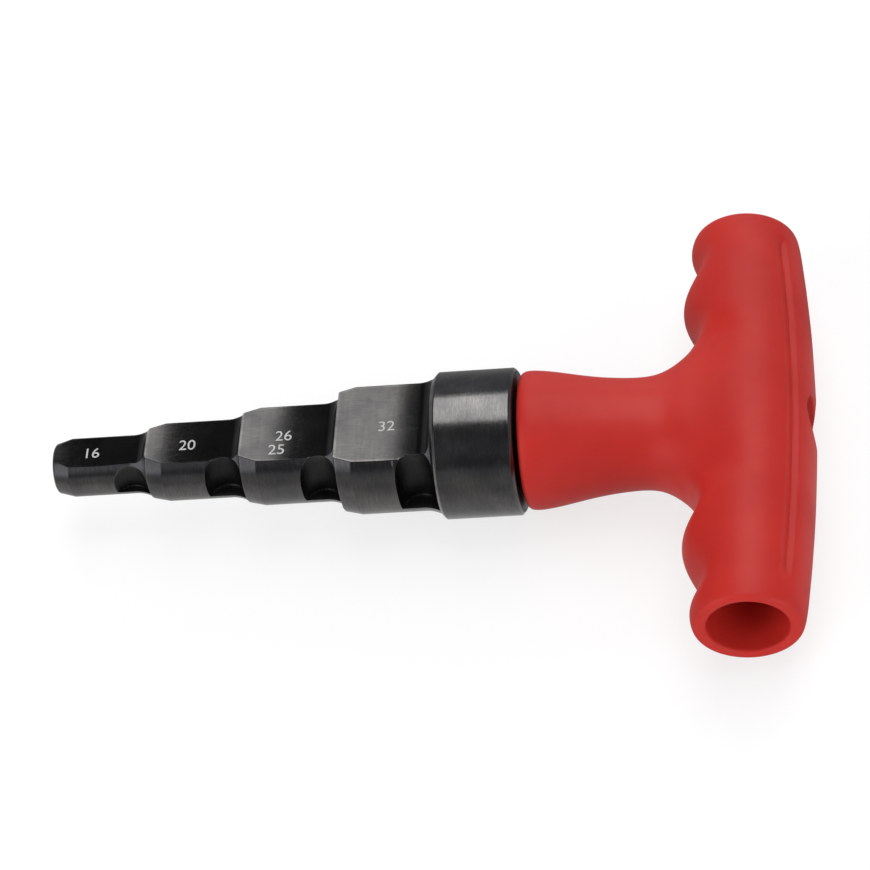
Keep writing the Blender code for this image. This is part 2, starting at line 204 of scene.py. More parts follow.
def makeStreaks():
    # tool marks: noise stretched along one direction, with a second finer layer
    tree, given, out = newGroup(
        "toolMarks",
        [("Position", "NodeSocketVector", None), ("Stretch", "NodeSocketVector", (1.0, 1.0, 1.0)),
         ("Contrast", "NodeSocketFloat", 1.0)],
        [("Marks", "NodeSocketFloat"), ("Height", "NodeSocketFloat")],
    )
    broadShare, fineShare = 0.55, 0.45
    middle = 0.5
    stretched = addNode(tree, "ShaderNodeVectorMath", {0: given["Position"], 1: given["Stretch"]},
                        operation="MULTIPLY").outputs[0]
    broad = noiseValue(tree, stretched, 1.0, 3.0, 0.6)
    fine = noiseValue(tree, stretched, 3.1, 2.0, 0.7)
    total = mathNode(tree, "ADD", mathNode(tree, "MULTIPLY", broad, broadShare),
                     mathNode(tree, "MULTIPLY", fine, fineShare))
    centred = mathNode(tree, "MULTIPLY", mathNode(tree, "SUBTRACT", total, middle), given["Contrast"])
    tree.links.new(mathNode(tree, "ADD", centred, middle), out["Marks"])
    tree.links.new(total, out["Height"])
    return tree


def makeMottle():
    # cloudy variation of a finish, and a speckle many times finer
    tree, given, out = newGroup(
        "finishMottle",
        [("Position", "NodeSocketVector", None), ("Size", "NodeSocketFloat", 100.0)],
        [("Cloud", "NodeSocketFloat"), ("Speckle", "NodeSocketFloat")],
    )
    timesFiner = 14.0
    cloud = noiseValue(tree, given["Position"], given["Size"], 4.0, 0.55)
    finer = mathNode(tree, "MULTIPLY", given["Size"], timesFiner)
    speckle = noiseValue(tree, given["Position"], finer, 2.0, 0.6)
    tree.links.new(cloud, out["Cloud"])
    tree.links.new(speckle, out["Speckle"])
    return tree


toolMarks = makeStreaks()
finishMottle = makeMottle()


def startMaterial(name):
    made = bpy.data.materials.new(name)
    made.use_nodes = True
    tree = made.node_tree
    shader = tree.nodes["Principled BSDF"]
    position = addNode(tree, "ShaderNodeTexCoord").outputs["Object"]
    return made, tree, shader, position


def placeGroup(tree, group, inputs):
    node = tree.nodes.new("ShaderNodeGroup")
    node.node_tree = group
    for key, value in inputs.items():
        feed(tree, node.inputs[key], value)
    return node.outputs


def bumped(tree, shader, height, strength, distance):
    bump = addNode(tree, "ShaderNodeBump", {"Height": height, "Strength": strength, "Distance": distance})
    tree.links.new(bump.outputs[0], shader.inputs["Normal"])


mandrel = {
    "stepRadii": (0.0060, 0.0080, 0.0100, 0.0130),
    "stepLength": 0.0200,
    "leadLength": 0.0035,
    "leadDrop": 0.0008,
    "flareLength": 0.0035,
    "flareRise": 0.0009,
    "rimRound": 0.00025,  # on the front rim of each step
    "noseFace": 0.0042,
    "noseEdge": 0.0007,
    "collarRadius": 0.0150,
    "collarLength": 0.0167,
    "collarChamfer": (0.0010, 0.0007),  # front edge, back edge
    "flatHeights": (0.00465, 0.0060, 0.0071, 0.00845),
    "wheelRadius": 0.190,  # the flats are hollow along the axis
    "wheelEdge": 0.0030,
    "wheelStop": 0.0001,
    "pocketRadius": 0.0040,
    "pocketOverrun": 0.0002,
    "pocketBites": (0.0020, 0.0034, 0.0034, 0.0043),
    "pocketFloors": (-0.0020, -0.0028, -0.0036, -0.0045),
    "shankHalf": 0.0060,
    "shankLength": 0.0408,
    "shankEdge": 0.0004,
    "shankRoot": 0.0040,  # how far the shank's mesh reaches into the collar
    "shankSides": 48,
    "holeRadius": 0.0033,
    "holeDepth": 0.0115,
    "colour": (0.118, 0.116, 0.118, 1.0),
    "paleColour": (0.222, 0.215, 0.206, 1.0),
    "roughness": (0.16, 0.24),
    # shares of the turned surface's colour and roughness; the colour shares paint light and shade into it
    # painted shade: the ground flats darkened, in place of the dimmer edge of the overhead box that they
    # reflect
    "groundPaintedShade": 0.46,
    "groundRoughness": 0.42,
    "groundRelief": 0.45,
    # painted shade: the milled pockets and the collar's back face darkened, where shade falls in the
    # recesses and the gap
    "milledPaintedShade": 0.30,
    "milledRoughness": 2.2,
    # painted highlight: edges of the flats and pockets, and the rims, brightened into thin light lines
    "edgeHighlightGain": 1.9,
    "rimHighlight": 0.55,  # on the steps' front rims, as a share of the painted highlight on the collar's
    "rimHighlightBand": (0.0003, 0.0008),  # width of the painted highlight band on a step's front rim, and on the collar's
    "highlightCloud": (0.35, 0.6, 0.2, 1.0),  # the cloud's range, and the share of the painted highlight that it leaves
    "chatterShare": 0.35,  # of the ground flats' marks
    "speckleRelief": 0.7,
    "reliefStrength": 0.20,
    "reliefDepth": 0.00003,
}

stepRadii = np.array(mandrel["stepRadii"])
lastStep = len(stepRadii) - 1
stepLength = mandrel["stepLength"]
collarFront = stepLength * len(stepRadii)
collarBack = collarFront + mandrel["collarLength"]
shankEnd = collarBack + mandrel["shankLength"]
farOut = 1.0  # well away from the tool


def turnedRadius(x):
    # radius of the turned body at x: each step rises over its lead, runs level and flares out at its root
    # lead: R - drop (1 - s), flare: R + rise s^2, round edges: depth (1 - sqrt(1 - s^2)), s from 0 to 1
    n = np.clip((x / stepLength).astype(int), 0, lastStep)
    u = x - n * stepLength
    lead, drop = mandrel["leadLength"], mandrel["leadDrop"]
    start = np.where(n == 0, mandrel["noseEdge"], 0.0)
    r = stepRadii[n] - drop * np.clip(1 - (u - start) / (lead - start), 0, 1)
    flare = np.clip(1 - (stepLength - u) / mandrel["flareLength"], 0, 1)
    r = r + mandrel["flareRise"] * flare ** 2
    rim = mandrel["rimRound"]
    sunk = np.clip(1 - u / rim, 0, 1)
    r = np.where(n > 0, r - rim * (1 - np.sqrt(1 - sunk ** 2)), r)
    edge = np.clip(1 - x / mandrel["noseEdge"], 0, 1)
    face = mandrel["noseFace"]
    nose = face + (stepRadii[0] - drop - face) * np.sqrt(1 - edge ** 2)
    r = np.where(x < mandrel["noseEdge"], nose, r)
    collar = mandrel["collarRadius"]
    swell = 1.25  # a little above 1, which bows the chamfers out
    for chamfer, toEdge in zip(mandrel["collarChamfer"], (x - collarFront, collarBack - x)):
        collar = collar - chamfer * np.clip(1 - toEdge / chamfer, 0, 1) ** swell
    return np.where(x > collarFront, collar, r)


def flatHeight(x):
    # height of the marked flat at x: its lowest height + (x - middle)^2 / 2R over the step,
    # then the round edge of the wheel up its root, e (1 - sqrt(1 - s^2))
    n = np.clip(((x + mandrel["wheelStop"]) / stepLength).astype(int), 0, lastStep)
    heights = np.array(mandrel["flatHeights"])
    edge, stop = mandrel["wheelEdge"], mandrel["wheelStop"]

    def hollow(step, place):
        return heights[step] + (place - (step + 0.5) * stepLength) ** 2 / (2 * mandrel["wheelRadius"])

    end = (n + 1) * stepLength - stop
    following = np.minimum(n + 1, lastStep)
    rise = np.where(n < lastStep, hollow(following, end) - hollow(n, end - edge / 2), edge)
    foot = end - edge * np.sin(np.arccos(1 - rise / edge))
    climb = np.clip((x - foot) / edge, 0, 1)
    h = hollow(n, x) + edge * (1 - np.sqrt(1 - climb ** 2))
    return np.where(x > collarFront - stop, farOut, h)


def pocketWall(x):
    # distance of the milled wall from the axis, R - bite + m - sqrt(m^2 - (x - middle)^2),
    # and height of the pocket's floor; far out where there is no pocket
    wall = np.full_like(x, farOut)
    floor = np.zeros_like(x)
    mill = mandrel["pocketRadius"]
    pockets = zip(stepRadii, mandrel["pocketBites"], mandrel["pocketFloors"])
    for n, (radius, bite, low) in enumerate(pockets):
        middle = (n + 1) * stepLength + mandrel["pocketOverrun"] - mill
        off = x - middle
        inside = np.abs(off) < mill
        depth = np.sqrt(np.clip(mill ** 2 - off ** 2, 0, None))
        wall = np.where(inside, radius - bite + mill - depth, wall)
        floor = np.where(inside, low, floor)
    return wall, floor


def mandrelStations():
    # places along the axis where a section is taken, close together where the shape turns
    tiny, rounding = 2e-6, 7
    places = [np.linspace(0, mandrel["noseEdge"], 9)]
    mill = mandrel["pocketRadius"]
    for n in range(len(stepRadii)):
        start, end = n * stepLength, (n + 1) * stepLength
        lead, flare = start + mandrel["leadLength"], end - mandrel["flareLength"]
        middle = end + mandrel["pocketOverrun"] - mill
        swing = middle - (mill - tiny) * np.cos(np.linspace(0, np.pi, 33))
        foot = end - mandrel["wheelStop"] - mandrel["wheelEdge"] * np.sin(np.linspace(0, np.pi / 2, 15))
        places += [
            start + np.array([tiny, 0.00004, 0.00008, 0.00013, 0.00018, 0.00025]),
            np.linspace(start + 0.0005, lead, 8), lead + np.array([-0.00015, 0.00015]),
            np.linspace(lead, flare, 20), flare + np.array([-0.00015, 0.00015]),
            np.linspace(flare, end - tiny, 16),
            swing, np.array([middle - mill - tiny, middle + mill + tiny]),
            foot, np.array([end - mandrel["wheelStop"] + tiny, end - mandrel["wheelStop"] - tiny]),
        ]
    places += [
        collarFront + np.array([tiny, 0.00015, 0.0004, 0.0007, 0.0009, 0.0010, 0.0011, 0.0013]),
        np.linspace(collarFront + 0.002, collarBack - 0.002, 16),
        collarBack - np.array([0.0010, 0.0008, 0.0007, 0.0006, 0.0004, 0.00015]),
        np.array([collarBack]),
    ]
    places = np.unique(np.round(np.concatenate(places), rounding))
    return places[(places > 10 * tiny) | (places == 0)]


def mandrelSections(x):
    # half a section runs from the top flat over the upper land, down the milled wall,
    # along the pocket's floor, round the lower land and back under the lower flat
    # the other half is the same turned by 180 degrees
    r = turnedRadius(x)
    h = np.minimum(flatHeight(x), r)
    chord = np.sqrt(np.clip(r ** 2 - h ** 2, 0, None))
    wall, floor = pocketWall(x)
    w = np.minimum(wall, r)
    half = np.sqrt(np.clip(r ** 2 - w ** 2, 0, None))
    top = np.minimum(h, half)
    low = np.where(wall < r, np.maximum(floor, -half), 0.0)
    top = np.where(wall < r, top, 0.0)
    flatEnd = np.minimum(chord, w)

    def line(fromY, fromZ, toY, toZ, shares):
        t = np.array(shares)[None, :]
        y = fromY[:, None] * (1 - t) + toY[:, None] * t
        z = fromZ[:, None] * (1 - t) + toZ[:, None] * t
        return y, z

    def arc(fromY, fromZ, toY, toZ, count):
        first, second = np.arctan2(fromZ, fromY), np.arctan2(toZ, toY)
        t = np.concatenate([[0.012, 0.04], np.linspace(0, 1, count)[1:-1], [0.96, 0.988]])[None, :]
        a = first[:, None] * (1 - t) + second[:, None] * t
        size = np.hypot(fromY, fromZ)[:, None] * (1 - t) + np.hypot(toY, toZ)[:, None] * t
        return size * np.cos(a), size * np.sin(a)

    zero = np.zeros_like(x)
    lowEdge = np.sqrt(np.clip(r ** 2 - low ** 2, 0, None))
    outer = np.where(low > -half + 1e-9, lowEdge, w)
    ends = [(zero, h), (flatEnd, h), (w, top), (w, low), (outer, low), (chord, -h)]
    flatShares = [0, 0.12, 0.25, 0.4, 0.55, 0.7, 0.85, 0.94, 0.985]
    wallShares = [0.02, 0.2, 0.4, 0.6, 0.8, 0.95]
    floorShares = [0.1, 0.35, 0.65, 0.9]
    corners = [(y[:, None], z[:, None]) for y, z in ends]
    # each part with what it is: a ground flat, a milled wall or floor, a turned land or a corner that takes
    # a painted highlight
    pieces = [
        ("flat", line(*ends[0], *ends[1], flatShares)),
        ("corner", corners[1]), ("land", arc(*ends[1], *ends[2], 9)),
        ("corner", corners[2]), ("milledAndShaded", line(*ends[2], *ends[3], wallShares)),
        ("corner", corners[3]), ("milledAndShaded", line(*ends[3], *ends[4], floorShares)),
        ("corner", corners[4]), ("land", arc(*ends[4], *ends[5], 22)),
        ("corner", corners[5]), ("flat", line(*ends[5], zero, -h, [1 - s for s in flatShares[:0:-1]])),
    ]
    kinds = np.concatenate([[kind] * part[0].shape[1] for kind, part in pieces])
    y = np.concatenate([part[0] for kind, part in pieces], axis=1)
    z = np.concatenate([part[1] for kind, part in pieces], axis=1)
    y, z = np.concatenate([-y, y], axis=1), np.concatenate([z, -z], axis=1)
    return np.stack([np.repeat(x[:, None], y.shape[1], axis=1), y, z], axis=-1), np.tile(kinds, 2)


def markFinishesAndPaintedLight(piece, x, sections, kinds):
    # where the flats are ground and the pockets milled, with painted shade on both and on the collar's back
    # face, and a painted highlight along edges and rims
    inPocket = (pocketWall(x)[0] < turnedRadius(x))[:, None]
    ground = np.isclose(np.abs(sections[..., 2]), flatHeight(x)[:, None], atol=1e-7)
    # the collar's back face is marked with the pockets, for painted shade in the gap before the handle
    milledAndShaded = (inPocket & (kinds == "milledAndShaded")[None, :]) | (x == x[-1])[:, None]
    corner = kinds == "corner"
    corner |= np.roll(corner, 1) | np.roll(corner, -1)
    past = np.where(x < collarFront, x - np.round(x / stepLength - 0.5) * stepLength, x - collarFront)
    stepBand, collarBand = mandrel["rimHighlightBand"]
    rim = ((past < stepBand) & (x > mandrel["noseEdge"])) | ((x >= collarFront) & (past < collarBand))
    # painted highlight: thin light lines along the corners of the flats and pockets, and along the rims
    edgeHighlight = (corner[None, :] & (x < collarFront)[:, None] & (inPocket | ground)).astype(float)
    rimHighlight = rim * np.where(x < collarFront, mandrel["rimHighlight"], 1.0)
    edgeHighlight = np.maximum(edgeHighlight, rimHighlight[:, None])
    for name, values in (("ground", ground), ("milledAndShaded", milledAndShaded), ("edgeHighlight", edgeHighlight)):
        marked = piece.data.attributes.new(name, "FLOAT", "POINT")
        marked.data.foreach_set("value", values.astype(float).ravel())


def makeBlackOxide(name, settings, turnedOnly=False):
    # blackened steel: dark metal, greyer where the tool marks catch the light
    # the marks run round the turned faces and across the ground flats
    made, tree, shader, position = startMaterial(name)

    def streaks(stretch, contrast):
        return placeGroup(tree, toolMarks, {"Position": position, "Stretch": stretch, "Contrast": contrast})

    around = streaks((5200.0, 420.0, 420.0), 1.5)
    mottle = placeGroup(tree, finishMottle, {"Position": position, "Size": 160.0})
    marks, height = around["Marks"], around["Height"]
    if not turnedOnly:
        ground = attributeValue(tree, "ground")
        across = streaks((260.0, 4200.0, 260.0), 1.7)
        chatter = streaks((1100.0, 90.0, 90.0), 1.6)
        share = settings["chatterShare"]
        flecks = mathNode(tree, "ADD", mathNode(tree, "MULTIPLY", across["Marks"], 1 - share),
                          mathNode(tree, "MULTIPLY", chatter["Marks"], share))
        marks = mixValues(tree, ground, marks, flecks)
        height = mixValues(tree, ground, height, across["Height"])
    shadeOf = mathNode(tree, "MULTIPLY", marks, mottle["Cloud"])
    pale = remap(tree, shadeOf, 0.12, 0.40, 0.0, 1.0)
    colour = mixColours(tree, pale, settings["colour"], settings["paleColour"])
    low, high = settings["roughness"]
    rough = remap(tree, mathNode(tree, "ADD", marks, mottle["Speckle"]), 0.7, 1.3, low, high)
    speckle = mottle["Speckle"]
    if not turnedOnly:
        milledAndShaded = attributeValue(tree, "milledAndShaded")
        edgeHighlight = mathNode(tree, "MULTIPLY", attributeValue(tree, "edgeHighlight"),
                        remap(tree, mottle["Cloud"], *settings["highlightCloud"]))
        # painted light in the colour: the ground flats, milled pockets and collar's back face darkened as
        # painted shade, edges and rims brightened as a painted highlight
        for amount, share in ((ground, "groundPaintedShade"), (milledAndShaded, "milledPaintedShade"), (edgeHighlight, "edgeHighlightGain")):
            shade = remap(tree, amount, 0.0, 1.0, 1.0, settings[share])
            colour = addNode(tree, "ShaderNodeVectorMath", {0: colour, "Scale": shade},
                             operation="SCALE").outputs[0]
        for amount, share in ((ground, "groundRoughness"), (milledAndShaded, "milledRoughness")):
            times = remap(tree, amount, 0.0, 1.0, 1.0, settings[share])
            rough = mathNode(tree, "MULTIPLY", rough, times)
        speckle = mathNode(tree, "MULTIPLY", speckle, mathNode(tree, "SUBTRACT", 1.0, ground))
        times = remap(tree, ground, 0.0, 1.0, 1.0, settings["groundRelief"])
        height = mathNode(tree, "MULTIPLY", height, times)
    tree.links.new(colour, shader.inputs["Base Color"])
    tree.links.new(rough, shader.inputs["Roughness"])
    shader.inputs["Metallic"].default_value = 1.0
    relief = mathNode(tree, "ADD", height, mathNode(tree, "MULTIPLY", speckle, mandrel["speckleRelief"]))
    bumped(tree, shader, relief, mandrel["reliefStrength"], mandrel["reliefDepth"])
    return made


def makeMandrel():
    x = mandrelStations()
    sections, kinds = mandrelSections(x)
    piece = capped("calibratingMandrel", sections)
    markFinishesAndPaintedLight(piece, x, sections, kinds)
    tidyMesh(piece, weld=4e-7, sharpAngle=58.0)
    # the hexagonal shank starts inside the collar and ends in a bored hole
    half, edge, hole = mandrel["shankHalf"], mandrel["shankEdge"], mandrel["holeRadius"]
    columns = mandrel["shankSides"]
    hexagon = hexRadius(1.0, columns)
    shank = capped("shankBar", turnedRings([
        (collarBack - mandrel["shankRoot"], half * hexagon), (shankEnd - edge, half * hexagon),
        (shankEnd, (half - edge) * hexagon), (shankEnd, hole), (shankEnd - mandrel["holeDepth"], hole),
    ], columns))
    for name in ("ground", "milledAndShaded", "edgeHighlight"):
        shank.data.attributes.new(name, "FLOAT", "POINT")
    tidyMesh(shank, sharpAngle=30.0)
    joined = bmesh.new()
    joined.from_mesh(piece.data)
    joined.from_mesh(shank.data)
    joined.to_mesh(piece.data)
    joined.free()
    bpy.data.objects.remove(shank)
    piece.data.materials.append(makeBlackOxide("blackOxideSteel", mandrel))
    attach(piece, "root")
    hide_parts("stepped_mandrel")
    print("mandrel:", len(piece.data.polygons), "faces")


makeMandrel()


grip = {
    "front": collarBack + 0.0006,
    "neckFront": 0.01425,
    "neckWaist": 0.01115,
    "waistPlace": 0.0245,
    "frontEdge": 0.0016,
    # behind the waist: distance from it, growth sideways and upwards
    "spread": ((0.0044, 0.0019, -0.0008), (0.0084, 0.0056, 0.0)),
    "saddle": (0.0116, 0.0108, 0.0084),
    "saddleForward": 0.0010,
    "barAxis": 0.0450,
    "barHalf": 0.0498,
    "barBack": 0.0140,
    "barHeight": 0.0129,
    "barEnd": 0.01105,
    "endHeight": 0.0104,
    "endCut": 0.0008,
    # front of the bar, over the neck's root and the finger waves: place from the middle, reach to the front
    "waves": ((0.0, 0.0111), (0.0088, 0.0111), (0.0170, 0.0111), (0.02165, 0.00985),
              (0.0270, 0.0121), (0.03235, 0.01265), (0.0368, 0.0110), (0.0412, 0.00945),
              (0.04507, 0.0110), (0.0492, 0.01105)),
    "crest": 0.0127,  # the rings' reach above the waves, which the waves leave alone
    "boreMouth": 0.0080,
    "boreFloor": 0.0075,
    "boreSkin": 0.0012,  # the grooves leave everything alone that lies closer than this round the bore
    "hubHalf": 0.0105,
    "grooveWidth": 0.00175,  # half of it
    "grooveDepth": 0.0009,
    "grooveFoot": 0.35,  # its deepest line, in half widths behind its middle
    "grooveAngle": (47.9, -4.1),  # degrees from the top towards the back, and its change out to the ends
    "grooveReach": 0.0450,
    "grooveFade": 0.0040,
    "grooveBand": 1.5,  # half width of the finely meshed band, in half widths of the groove
    "grooveCuts": 3,
    "socketHalf": 0.0063,
    "screwHole": 0.0033,
    "recessRadius": 0.0058,
    "recessFloor": shankEnd + 0.0065,
    "lipRound": 0.0005,
    "colour": (0.530, 0.026, 0.019, 1.0),
    "deepColour": (0.475, 0.020, 0.015, 1.0),
    "roughness": (0.40, 0.50),
    "ior": 1.34,
}
barX = grip["front"] + grip["barAxis"]


def splineControls(targets):
    # control values c for which (c[i-1] + 4 c[i] + c[i+1]) / 6 meets each target, mirrored at the start
    count = len(targets)
    matrix = np.eye(count) * 4 + np.eye(count, k=1) + np.eye(count, k=-1)
    matrix[0, 1] = 2
    matrix[-1, -1] = 5
    return np.linalg.solve(matrix, np.array(targets) * 6)


def ringGrow(count):
    # how much larger a ring of control points is than the smooth circle it gives
    return 3 / (2 + math.cos(2 * math.pi / count))


barColumns, neckColumns = 7, 5


def barRings():
    # the bar in rings round Y: x = barX - reach cos t, z = top sin t for t = 0 to 180 degrees,
    # out to the lip, over it and down the bore to its floor
    # back and top go from the middle's value to the end's with the square of the share of the way
    g = grip
    places, fronts = np.array(g["waves"]).T
    share = (places / g["barHalf"]) ** 2
    fronts = splineControls(fronts)
    backs = splineControls(g["barBack"] + (g["barEnd"] - g["barBack"]) * share)
    tops = splineControls(g["barHeight"] + (g["endHeight"] - g["barHeight"]) * share)
    crests = g["crest"] + (g["barEnd"] - g["crest"]) * share
    depth = g["barHalf"] - g["hubHalf"]
    mouth, bottom, cut = g["boreMouth"], g["boreFloor"], g["endCut"]
    # distance from the bar's end and radius, over the lip and down the bore
    bore = np.array([
        (0, mouth + 0.0005), (0.00045, mouth - 0.00005), (0.0015, mouth), (0.0040, mouth),
        (depth / 2, (mouth + bottom) / 2), (depth - 0.0010, bottom),
        (depth, bottom), (depth, bottom - 0.0010), (depth, bottom * 0.5),
    ])
    count = len(places)
    places = np.concatenate([places, [g["barHalf"]], g["barHalf"] - bore[:, 0]])
    fronts = np.concatenate([fronts, [g["barEnd"] - cut], bore[:, 1]])
    backs = np.concatenate([backs, [g["barEnd"] - cut], bore[:, 1]])
    tops = np.concatenate([tops, [g["endHeight"] - cut], bore[:, 1]])
    t = np.radians(np.linspace(0, 180, barColumns))[None, :]
    reach = np.where(t < np.pi / 2, fronts[:, None], backs[:, None])
    reach[:count, 2] = crests
    grow = ringGrow(2 * (barColumns - 1))
    x = barX - reach * grow * np.cos(t)
    z = tops[:, None] * grow * np.sin(t)
    saddle = np.array(g["saddle"])
    z[:3, 2] = saddle
    x[:3, 2] -= g["saddleForward"] * saddle / saddle[0]
    return np.stack([x, np.repeat(places[:, None], barColumns, axis=1), z], axis=-1)


def neckRings():
    # the neck in rings round X: y = reach sin t, z = height cos t for t = 0 to 90 degrees
    g = grip
    front, waist, place, edge = g["neckFront"], g["neckWaist"], g["waistPlace"], g["frontEdge"]
    step = (front - waist) / 4
    # rounded front edge, then down to the waist at shares of the way there
    rings = [(0, front - 2 * edge, front - 2 * edge), (0, front - edge / 8, front - edge / 8),
             (place * 0.12, front, front), (place * 0.33, front - step, front - step),
             (place * 0.62, waist + step, waist + step), (place, waist, waist)]
    rings += [(place + behind, waist + wide, waist + high) for behind, wide, high in g["spread"]]
    rings = np.array(rings)
    t = np.radians(np.linspace(0, 90, neckColumns))[None, :]
    grow = ringGrow(4 * (neckColumns - 1))
    x = np.repeat(g["front"] + rings[:, :1], neckColumns, axis=1)
    return np.stack([x, grow * rings[:, 1:2] * np.sin(t), grow * rings[:, 2:] * np.cos(t)], axis=-1)


def gripCage():
    # a quarter of the handle: the neck's last ring meets five points of the bar's first rings
    bar, neck = barRings(), neckRings()
    rows, columns = bar.shape[:2]
    barFaces = gridFaces(rows, columns, closed=False).reshape(rows - 1, columns - 1, 4)
    # the front of the first two rings stays open, where the neck joins
    kept = np.ones((rows - 1, columns - 1), bool)
    kept[:2, :2] = False
    barFaces = barFaces[kept]
    first = rows * columns
    neckFaces = gridFaces(len(neck), neckColumns, closed=False) + first
    last = first + (len(neck) - 1) * neckColumns
    seam = np.array([2, columns + 2, 2 * columns + 2, 2 * columns + 1, 2 * columns])
    join = np.array([[last + k, last + k + 1, seam[k + 1], seam[k]] for k in range(neckColumns - 1)])
    end = (rows - 1) * columns
    centre = first + len(neck) * neckColumns
    middle = np.array([[grip["front"], 0, 0]])
    extra = [range(end, end + columns), (centre, first, first + 1, first + 2),
             (centre, first + 2, first + 3, first + 4)]
    points = np.concatenate([bar.reshape(-1, 3), neck.reshape(-1, 3), middle])
    faces = np.concatenate([barFaces, neckFaces, join])
    piece = meshObject("tHandle", points, faces, extra)
    # the front points under the neck are used by no face
    work = bmesh.new()
    work.from_mesh(piece.data)
    bmesh.ops.delete(work, geom=[point for point in work.verts if not point.link_faces], context="VERTS")
    work.to_mesh(piece.data)
    work.free()
    return piece


def grooveOffset(points):
    # distance of each point from the groove's middle, measured round the bar, in half widths of the groove,
    # and its distance from the bar's axis
    noGroove = 9.0
    dx, dz = points[:, 0] - barX, np.abs(points[:, 2])
    radius = np.hypot(dx, dz)
    along = np.abs(points[:, 1]) / grip["grooveReach"]
    angle = np.radians(grip["grooveAngle"][0] + grip["grooveAngle"][1] * along ** 2)
    d = (np.arctan2(dx, dz) - angle) * radius / grip["grooveWidth"]
    return np.where(radius > grip["boreMouth"] + grip["boreSkin"], d, noGroove), radius


def refineGrooves(piece):
    # a finer mesh in a band along each groove
    points = vertexPoints(piece.data)
    beside = np.abs(grooveOffset(points)[0]) < grip["grooveBand"]
    near = beside & (np.abs(points[:, 1]) < grip["grooveReach"] + 0.001)
    work = bmesh.new()
    work.from_mesh(piece.data)
    edges = [edge for edge in work.edges if near[edge.verts[0].index] and near[edge.verts[1].index]]
    bmesh.ops.subdivide_edges(work, edges=edges, cuts=grip["grooveCuts"], use_grid_fill=True)
    work.to_mesh(piece.data)
    work.free()


def pressGrooves(points):
    # two shallow grooves along the bar, a long wall in front of the deepest line and a short one behind:
    # depth (t + t^2 (3 - 2 t)) / 2, t from 0 at either edge to 1 at the deepest line, fading at the ends
    g = grip
    dx, y = points[:, 0] - barX, points[:, 1]
    d, radius = grooveOffset(points)
    foot = g["grooveFoot"]
    t = np.clip(np.where(d < foot, (1 + d) / (1 + foot), (1 - d) / (1 - foot)), 0, 1)
    across = (t + t * t * (3 - 2 * t)) / 2
    ends = np.clip((g["grooveReach"] - np.abs(y)) / g["grooveFade"], 0, 1)
    ends = ends * ends * (3 - 2 * ends)
    push = g["grooveDepth"] * across * ends / np.maximum(radius, 1e-6)
    moved = points.copy()
    moved[:, 0] -= dx * push
    moved[:, 2] *= 1 - push
    return moved


def coreCutter():
    # the hole through the neck and hub: a hexagon for the shank, then round for the screw and its head
    # its mouth flares over a rounded lip: x = back - 1.9 L + L sin s, r = R + L (1 - cos s)
    g = grip
    columns, beyond = 96, 0.003
    hexagon = g["socketHalf"] * hexRadius(1.0, columns)
    socketEnd = shankEnd + 0.0003
    back, lip, sweep = barX + g["barBack"], g["lipRound"], 0.8 * math.pi / 2
    stations = [(g["front"] - 0.002, hexagon), (socketEnd, hexagon), (socketEnd, g["screwHole"]),
                (g["recessFloor"], g["screwHole"]), (g["recessFloor"], g["recessRadius"])]
    stations += [(back - 1.9 * lip + lip * math.sin(s), g["recessRadius"] + lip * (1 - math.cos(s)))
                 for s in np.linspace(0, sweep, 7)]
    # then straight on, a little flatter
    flatter = 0.55
    lastPlace, lastRadius = stations[-1]
    stations.append((lastPlace + beyond, lastRadius + beyond * math.tan(sweep) * flatter))
    cutter = capped("coreCutter", turnedRings(stations, columns))
    tidyMesh(cutter)
    return cutter


def makeRedPlastic():
    # moulded plastic: even colour with a faint cloud, soft sheen, very fine skin
    made, tree, shader, position = startMaterial("redPlastic")
    mottle = placeGroup(tree, finishMottle, {"Position": position, "Size": 60.0})
    deep = remap(tree, mottle["Cloud"], 0.35, 0.65, 0.0, 1.0)
    colour = mixColours(tree, deep, grip["colour"], grip["deepColour"])
    tree.links.new(colour, shader.inputs["Base Color"])
    low, high = grip["roughness"]
    tree.links.new(remap(tree, mottle["Cloud"], 0.3, 0.7, low, high), shader.inputs["Roughness"])
    fine = placeGroup(tree, finishMottle, {"Position": position, "Size": 900.0})
    bumped(tree, shader, fine["Cloud"], strength=0.06, distance=0.0001)
    shader.inputs["IOR"].default_value = grip["ior"]
    return made


def makeHandle():
    piece = gripCage()
    tidyMesh(piece)
    mirror = piece.modifiers.new("halves", "MIRROR")
    mirror.use_axis = (False, True, True)
    mirror.merge_threshold = 1e-5
    smooth = piece.modifiers.new("smooth", "SUBSURF")
    smooth.levels = smooth.render_levels = 3
    applyModifiers(piece)
    refineGrooves(piece)
    piece.data.vertices.foreach_set("co", pressGrooves(vertexPoints(piece.data)).ravel())
    tidyMesh(piece, sharpAngle=180.0)
    cutter = coreCutter()
    cut = piece.modifiers.new("core", "BOOLEAN")
    cut.operation = "DIFFERENCE"
    cut.solver = "EXACT"
    cut.object = cutter
    applyModifiers(piece)
    bpy.data.objects.remove(cutter)
    smoothShade(piece, 32.0)
    piece.data.materials.clear()
    piece.data.materials.append(makeRedPlastic())
    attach(piece, "root")
    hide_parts("handle_body")
    print("handle:", len(piece.data.polygons), "faces")


makeHandle()


